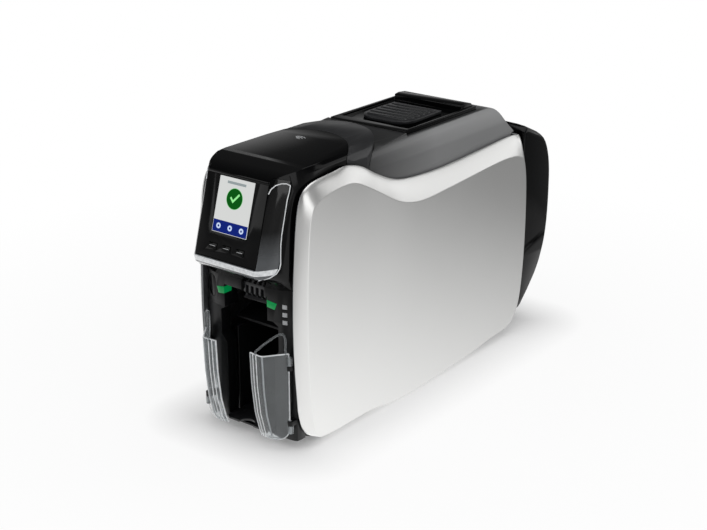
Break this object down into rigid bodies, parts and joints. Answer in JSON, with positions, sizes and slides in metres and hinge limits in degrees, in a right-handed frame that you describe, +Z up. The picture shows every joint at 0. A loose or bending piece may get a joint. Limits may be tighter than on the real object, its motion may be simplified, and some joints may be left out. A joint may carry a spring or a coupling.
{
  "type": "id card printer",
  "caption": "Desktop id card printer with silver side panels, a colour screen, two clear hopper doors and a hinged top cover.",
  "frame": {"origin": "on the floor under the middle of the case", "axes": "+X right seen from the front, -Y front, +Z up"},
  "size_m": [0.1432, 0.4901, 0.2865],
  "materials": {
    "silver_paint": "satin",
    "gloss_black": "gloss",
    "satin_black": "satin",
    "dark_grey": "satin",
    "clear_smoke": "gloss",
    "clear": "gloss",
    "screen": "lit",
    "green_lens": "gloss",
    "white_mark": "matte",
    "rubber": "matte",
    "steel": "brushed",
    "zinc": "satin",
    "board": "satin",
    "spool_white": "satin",
    "blue_roller": "satin",
    "motor_metal": "satin"
  },
  "bodies": {
    "chassis": {"base_tray": "satin_black", "rubber_feet": "rubber", "base_screws": "steel", "inner_frame_left": "zinc", "inner_frame_right": "zinc", "side_panel_left": "silver_paint", "side_panel_right": "silver_paint", "front_housing": "satin_black", "front_hood": "gloss_black", "display_surround": "clear_smoke", "display_glass": "gloss_black", "display_screen": "screen", "display_board": "board", "indicator_left": "green_lens", "indicator_right": "green_lens", "status_marks": "white_mark", "card_slot_guide": "dark_grey", "hopper_door_pins": "steel", "card_hopper": "satin_black", "output_tray": "satin_black", "cover_collar": "dark_grey", "latch_bar": "steel", "cover_hinge_pin": "steel", "feed_belt": "rubber", "motor_belt": "rubber", "feed_motor": "motor_metal", "card_rails": "satin_black", "ribbon_motor": "motor_metal", "main_board": "board", "fan_frame": "satin_black", "reject_bin": "satin_black", "rear_hood": "gloss_black", "connector_plate": "dark_grey", "power_inlet": "satin_black", "usb_port": "steel", "network_port": "steel"},
    "top_cover": {"top_cover": "dark_grey", "cover_deck": "gloss_black", "printhead_bracket": "zinc", "printhead": "motor_metal"},
    "cover_release": {"cover_release": "dark_grey"},
    "latch_hook": {"latch_hook": "steel"},
    "hopper_door_left": {"hopper_door_left": "clear"},
    "hopper_door_right": {"hopper_door_right": "clear"},
    "card_lift_plate": {"card_lift_plate": "dark_grey"},
    "transfer_guide": {"transfer_guide": "dark_grey"},
    "key_left": {"key_left": "gloss_black"},
    "key_middle": {"key_middle": "gloss_black"},
    "key_right": {"key_right": "gloss_black"},
    "power_button": {"power_button": "gloss_black"},
    "pick_roller": {"pick_roller": "rubber"},
    "eject_roller": {"eject_roller": "rubber"},
    "feed_roller": {"feed_roller": "rubber"},
    "platen_roller": {"platen_roller": "rubber"},
    "exit_roller": {"exit_roller": "rubber"},
    "cleaning_roller": {"cleaning_roller": "blue_roller"},
    "motor_pulley": {"motor_pulley": "steel"},
    "supply_spool": {"supply_spool": "spool_white"},
    "takeup_spool": {"takeup_spool": "spool_white"},
    "fan_rotor": {"fan_rotor": "satin_black"}
  },
  "joints": [
    {"name": "cover_hinge", "type": "hinge", "parent": "chassis", "child": "top_cover", "pos_m": [0, 0.1705, 0.234], "axis": [-1, 0, 0], "range_deg": [0, 70]},
    {"name": "release_slide", "type": "slide", "parent": "top_cover", "child": "cover_release", "axis": [0, 1, 0], "range_m": [0, 0.008], "stiffness_N_per_m": 250},
    {"name": "latch_swing", "type": "hinge", "parent": "top_cover", "child": "latch_hook", "pos_m": [0, -0.0355, 0.252], "axis": [1, 0, 0], "range_deg": [0, 20]},
    {"name": "door_left_hinge", "type": "hinge", "parent": "chassis", "child": "hopper_door_left", "pos_m": [-0.054, -0.2155, 0.06], "axis": [0, 0, -1], "range_deg": [0, 95]},
    {"name": "door_right_hinge", "type": "hinge", "parent": "chassis", "child": "hopper_door_right", "pos_m": [0.054, -0.2155, 0.06], "axis": [0, 0, 1], "range_deg": [0, 95]},
    {"name": "lift_slide", "type": "slide", "parent": "chassis", "child": "card_lift_plate", "axis": [0, 0, 1], "range_m": [0, 0.084]},
    {"name": "guide_tilt", "type": "hinge", "parent": "chassis", "child": "transfer_guide", "pos_m": [0, -0.0335, 0.1231], "axis": [1, 0, 0], "range_deg": [0, 13]},
    {"name": "key_left_press", "type": "slide", "parent": "chassis", "child": "key_left", "axis": [0, 0.9593, -0.2823], "range_m": [0, 0.0006], "stiffness_N_per_m": 600},
    {"name": "key_middle_press", "type": "slide", "parent": "chassis", "child": "key_middle", "axis": [0, 0.9593, -0.2823], "range_m": [0, 0.0006], "stiffness_N_per_m": 600},
    {"name": "key_right_press", "type": "slide", "parent": "chassis", "child": "key_right", "axis": [0, 0.9593, -0.2823], "range_m": [0, 0.0006], "stiffness_N_per_m": 600},
    {"name": "power_press", "type": "slide", "parent": "chassis", "child": "power_button", "axis": [0, 1, 0], "range_m": [0, 0.0012], "stiffness_N_per_m": 500},
    {"name": "pick_roller_spin", "type": "hinge", "parent": "chassis", "child": "pick_roller", "pos_m": [0, -0.1535, 0.1162], "axis": [1, 0, 0], "continuous": true},
    {"name": "motor_pulley_spin", "type": "hinge", "parent": "chassis", "child": "motor_pulley", "pos_m": [0, -0.0455, 0.066], "axis": [1, 0, 0], "continuous": true},
    {"name": "feed_roller_spin", "type": "hinge", "parent": "chassis", "child": "feed_roller", "pos_m": [0, -0.0195, 0.1205], "axis": [1, 0, 0], "continuous": true},
    {"name": "eject_roller_spin", "type": "hinge", "parent": "chassis", "child": "eject_roller", "pos_m": [0, -0.1175, 0.1205], "axis": [1, 0, 0], "continuous": true},
    {"name": "platen_roller_spin", "type": "hinge", "parent": "chassis", "child": "platen_roller", "pos_m": [0, 0.0345, 0.1205], "axis": [1, 0, 0], "continuous": true},
    {"name": "exit_roller_spin", "type": "hinge", "parent": "chassis", "child": "exit_roller", "pos_m": [0, 0.0865, 0.1205], "axis": [1, 0, 0], "continuous": true},
    {"name": "cleaning_roller_spin", "type": "hinge", "parent": "chassis", "child": "cleaning_roller", "pos_m": [0, 0.0025, 0.1346], "axis": [1, 0, 0], "continuous": true},
    {"name": "supply_spool_spin", "type": "hinge", "parent": "chassis", "child": "supply_spool", "pos_m": [0, -0.0335, 0.178], "axis": [1, 0, 0], "continuous": true},
    {"name": "takeup_spool_spin", "type": "hinge", "parent": "chassis", "child": "takeup_spool", "pos_m": [0, 0.0825, 0.178], "axis": [1, 0, 0], "continuous": true},
    {"name": "fan_spin", "type": "hinge", "parent": "chassis", "child": "fan_rotor", "pos_m": [0, 0.1545, 0.165], "axis": [0, 1, 0], "continuous": true}
  ],
  "couplings": [
    {"joint": "latch_swing", "follows": "release_slide", "rad_per_m": 43.633},
    {"joint": "eject_roller_spin", "follows": "feed_roller_spin", "ratio": 1},
    {"joint": "platen_roller_spin", "follows": "feed_roller_spin", "ratio": 1},
    {"joint": "exit_roller_spin", "follows": "feed_roller_spin", "ratio": 1},
    {"joint": "motor_pulley_spin", "follows": "feed_roller_spin", "ratio": 1}
  ]
}
